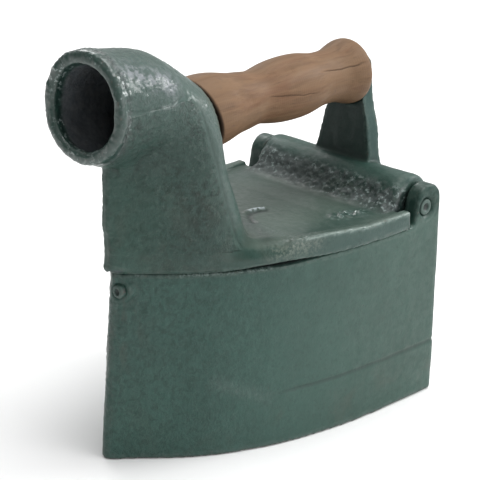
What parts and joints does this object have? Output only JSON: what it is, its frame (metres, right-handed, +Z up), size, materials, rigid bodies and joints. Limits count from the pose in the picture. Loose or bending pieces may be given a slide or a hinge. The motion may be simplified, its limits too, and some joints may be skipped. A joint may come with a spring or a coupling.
{
  "type": "chimney sad iron",
  "caption": "Charcoal-heated sad iron: cast fire box with flat sole, hinged lid with forward-turned chimney, turned wooden grip, grate and draught door.",
  "frame": {"origin": "centre of the sole, on the ground plane", "axes": "+X towards the toe, +Y to the iron's left, +Z up"},
  "size_m": [0.1945, 0.1126, 0.1949],
  "materials": {
    "enamel_body": "glossy enamel over rough cast iron",
    "enamel_lid": "glossy pebbled enamel over rough cast iron",
    "pin_enamel": "enamelled steel",
    "turned_wood": "oiled hardwood, worn satin",
    "rod_steel": "darkened, lightly rusted steel",
    "raw_iron": "sooty raw cast iron"
  },
  "bodies": {
    "fire_box": {"body_casting": "enamel_body", "hinge_pin": "pin_enamel", "fire_grate": "raw_iron", "draught_rivet": "rod_steel"},
    "lid": {"lid_casting": "enamel_lid", "handle_grip": "turned_wood", "handle_rod": "rod_steel", "handle_nut": "rod_steel", "rear_washer": "rod_steel", "front_washer": "rod_steel"},
    "draught": {"draught_door": "enamel_body", "draught_knob": "rod_steel"},
    "screw": {"toe_screw": "pin_enamel"}
  },
  "joints": [
    {"name": "lid_hinge", "type": "hinge", "parent": "fire_box", "child": "lid", "pos_m": [-0.0743, 0, 0.0974], "axis": [0, -1, 0], "range_deg": [0, 90]},
    {"name": "draught_swing", "type": "hinge", "parent": "fire_box", "child": "draught", "pos_m": [-0.086, 0, 0.037], "axis": [1, 0, 0], "range_deg": [-90, 90]},
    {"name": "toe_screw_travel", "type": "slide", "parent": "fire_box", "child": "screw", "axis": [1, 0, 0], "range_m": [0, 0.005]}
  ]
}
